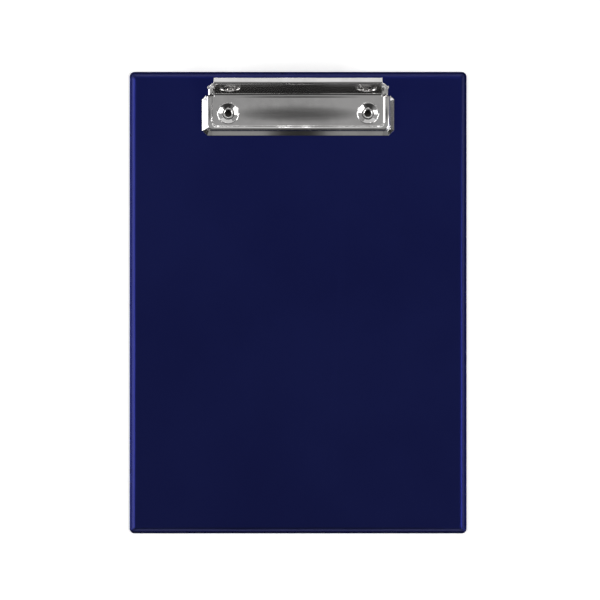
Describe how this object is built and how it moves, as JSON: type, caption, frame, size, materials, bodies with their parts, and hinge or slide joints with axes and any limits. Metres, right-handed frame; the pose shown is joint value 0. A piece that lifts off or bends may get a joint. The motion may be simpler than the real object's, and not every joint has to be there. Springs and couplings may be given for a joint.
{
  "type": "clipboard",
  "caption": "A4 clipboard: film-covered stiff board with a riveted, sprung metal clip at its top edge that opens on a hinge pin to grip paper.",
  "frame": {"origin": "middle of the board's back face", "axes": "+X across the board, +Y up the board towards the clip, +Z out of the board's face"},
  "size_m": [0.23, 0.315, 0.0181],
  "materials": {
    "greyboard": "plain greyboard",
    "film": "navy film with a fine leather grain",
    "plated_steel": "bright nickel plating",
    "spring_steel": "drawn wire",
    "rivet_steel": "bright nickel plating"
  },
  "bodies": {
    "board": {"core_board": "greyboard", "front_cover": "film", "back_cover": "film", "base_plate": "plated_steel", "hinge_pin": "plated_steel", "torsion_spring_left": "spring_steel", "torsion_spring_right": "spring_steel", "rivet_left": "rivet_steel", "rivet_right": "rivet_steel"},
    "jaw": {"jaw_plate": "plated_steel"}
  },
  "joints": [
    {"name": "jaw_hinge", "type": "hinge", "parent": "board", "child": "jaw", "pos_m": [0, 0.146, 0.0072], "axis": [-1, 0, 0], "range_deg": [0, 18], "stiffness_Nm_per_rad": 0.5, "springref_deg": -28.65, "deforming": ["torsion_spring_left", "torsion_spring_right"]}
  ]
}
